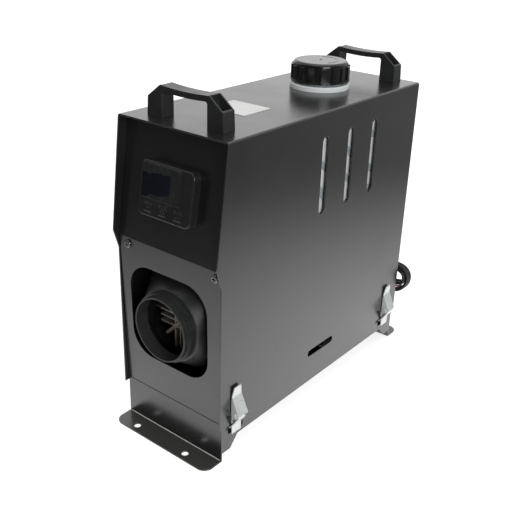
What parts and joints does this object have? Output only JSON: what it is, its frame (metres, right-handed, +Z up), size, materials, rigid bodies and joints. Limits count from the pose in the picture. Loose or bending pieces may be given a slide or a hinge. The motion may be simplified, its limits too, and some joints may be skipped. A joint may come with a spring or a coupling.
{
  "type": "diesel air heater",
  "caption": "Portable diesel air heater: narrow black steel case with feet, toggle latches, handles, round warm-air outlet, tilted controller and screw-capped fuel tank.",
  "frame": {"origin": "middle of the floor rectangle that the part covers, on the floor", "axes": "+X across the case, -Y where the warm air leaves, +Z up"},
  "size_m": [0.1742, 0.416, 0.399],
  "materials": {
    "case_paint": "satin powder coat",
    "zinc": "bright zinc",
    "galvanised": "galvanised sheet",
    "tank_plastic": "translucent natural polyethylene",
    "white_plastic": "moulded",
    "black_plastic": "fine moulded grain",
    "black_gloss": "glossy film",
    "rubber": "matt",
    "hose_rubber": "matt",
    "cord_rubber": "satin",
    "label_film": "blank film",
    "cast_aluminium": "cast",
    "machined_steel": "turned",
    "hot_steel": "heat-tinted",
    "board": "printed circuit board",
    "display_glass": "dark glass"
  },
  "bodies": {
    "case": {"base_tray": "case_paint", "cover_shell": "case_paint", "front_sheet": "case_paint", "rear_sheet": "case_paint", "tank_shelf": "case_paint", "case_screws": "zinc", "fuel_tank": "tank_plastic", "filler_ring": "white_plastic", "handle_front": "black_plastic", "handle_rear": "black_plastic", "blank_label": "label_film", "core_casing_lower": "black_plastic", "core_casing_upper": "black_plastic", "outlet_hood": "black_plastic", "outlet_duct": "black_plastic", "heat_exchanger": "cast_aluminium", "burner_tube": "hot_steel", "glow_plug": "hot_steel", "blower_housing": "cast_aluminium", "motor": "machined_steel", "inlet_grille": "black_plastic", "control_unit": "black_plastic", "core_bracket": "galvanised", "bracket_bolts": "zinc", "exhaust_stub": "machined_steel", "intake_stub": "black_plastic", "fuel_fittings": "machined_steel", "fuel_filter": "tank_plastic", "fuel_pump": "machined_steel", "fuel_mounts": "rubber", "fuel_hoses": "hose_rubber", "controller_back": "black_plastic", "controller_board": "board", "controller_front": "black_plastic", "controller_window": "black_gloss", "controller_display": "display_glass", "latch_bases": "zinc", "latch_pivots": "zinc", "rivets": "zinc", "cable_mounts": "rubber", "cord_lead": "cord_rubber", "cord_tail": "cord_rubber", "cord_hank": "cord_rubber", "cord_plug": "black_plastic"},
    "cap_carrier": {"cap_seal": "rubber"},
    "cap": {"filler_cap": "black_plastic"},
    "rotor": {"fan_shaft": "machined_steel", "burner_fan": "black_plastic", "main_fan": "black_plastic"},
    "key_left": {"key_left": "black_plastic"},
    "key_middle": {"key_middle": "black_plastic"},
    "key_right": {"key_right": "black_plastic"},
    "lever_front_right": {"lever_front_right": "zinc"},
    "claw_front_right": {"claw_front_right": "zinc"},
    "lever_front_left": {"lever_front_left": "zinc"},
    "claw_front_left": {"claw_front_left": "zinc"},
    "lever_rear_right": {"lever_rear_right": "zinc"},
    "claw_rear_right": {"claw_rear_right": "zinc"},
    "lever_rear_left": {"lever_rear_left": "zinc"},
    "claw_rear_left": {"claw_rear_left": "zinc"}
  },
  "joints": [
    {"name": "cap_lift", "type": "slide", "parent": "case", "child": "cap_carrier", "axis": [0, 0, 1], "range_m": [0, 0.009]},
    {"name": "cap_turn", "type": "hinge", "parent": "cap_carrier", "child": "cap", "pos_m": [-0.0012, 0.0748, 0.39], "axis": [0, 0, 1], "range_deg": [0, 540]},
    {"name": "fan_spin", "type": "hinge", "parent": "case", "child": "rotor", "pos_m": [-0.003, 0.075, 0.146], "axis": [0, 1, 0], "continuous": true},
    {"name": "press_left", "type": "slide", "parent": "case", "child": "key_left", "axis": [0, 0.9869, -0.1616], "range_m": [0, 0.0007], "stiffness_N_per_m": 400, "springref_m": -0.0008},
    {"name": "press_middle", "type": "slide", "parent": "case", "child": "key_middle", "axis": [0, 0.9869, -0.1616], "range_m": [0, 0.0007], "stiffness_N_per_m": 400, "springref_m": -0.0008},
    {"name": "press_right", "type": "slide", "parent": "case", "child": "key_right", "axis": [0, 0.9869, -0.1616], "range_m": [0, 0.0007], "stiffness_N_per_m": 400, "springref_m": -0.0008},
    {"name": "open_front_right", "type": "hinge", "parent": "case", "child": "lever_front_right", "pos_m": [0.0806, -0.162, 0.0595], "axis": [0, 1, 0], "range_deg": [0, 100]},
    {"name": "hook_front_right", "type": "hinge", "parent": "lever_front_right", "child": "claw_front_right", "pos_m": [0.079, -0.162, 0.0663], "axis": [0, 1, 0], "range_deg": [-108.1, 0]},
    {"name": "open_front_left", "type": "hinge", "parent": "case", "child": "lever_front_left", "pos_m": [-0.0806, -0.162, 0.0595], "axis": [0, -1, 0], "range_deg": [0, 100]},
    {"name": "hook_front_left", "type": "hinge", "parent": "lever_front_left", "child": "claw_front_left", "pos_m": [-0.079, -0.162, 0.0663], "axis": [0, -1, 0], "range_deg": [-108.1, 0]},
    {"name": "open_rear_right", "type": "hinge", "parent": "case", "child": "lever_rear_right", "pos_m": [0.0806, 0.1555, 0.0595], "axis": [0, 1, 0], "range_deg": [0, 100]},
    {"name": "hook_rear_right", "type": "hinge", "parent": "lever_rear_right", "child": "claw_rear_right", "pos_m": [0.079, 0.1555, 0.0663], "axis": [0, 1, 0], "range_deg": [-108.1, 0]},
    {"name": "open_rear_left", "type": "hinge", "parent": "case", "child": "lever_rear_left", "pos_m": [-0.0806, 0.1555, 0.0595], "axis": [0, -1, 0], "range_deg": [0, 100]},
    {"name": "hook_rear_left", "type": "hinge", "parent": "lever_rear_left", "child": "claw_rear_left", "pos_m": [-0.079, 0.1555, 0.0663], "axis": [0, -1, 0], "range_deg": [-108.1, 0]}
  ],
  "couplings": [
    {"joint": "cap_lift", "follows": "cap_turn", "m_per_rad": 0.00095493},
    {"joint": "hook_front_right", "follows": "open_front_right", "ratio": -1.08},
    {"joint": "hook_front_left", "follows": "open_front_left", "ratio": -1.08},
    {"joint": "hook_rear_right", "follows": "open_rear_right", "ratio": -1.08},
    {"joint": "hook_rear_left", "follows": "open_rear_left", "ratio": -1.08}
  ]
}
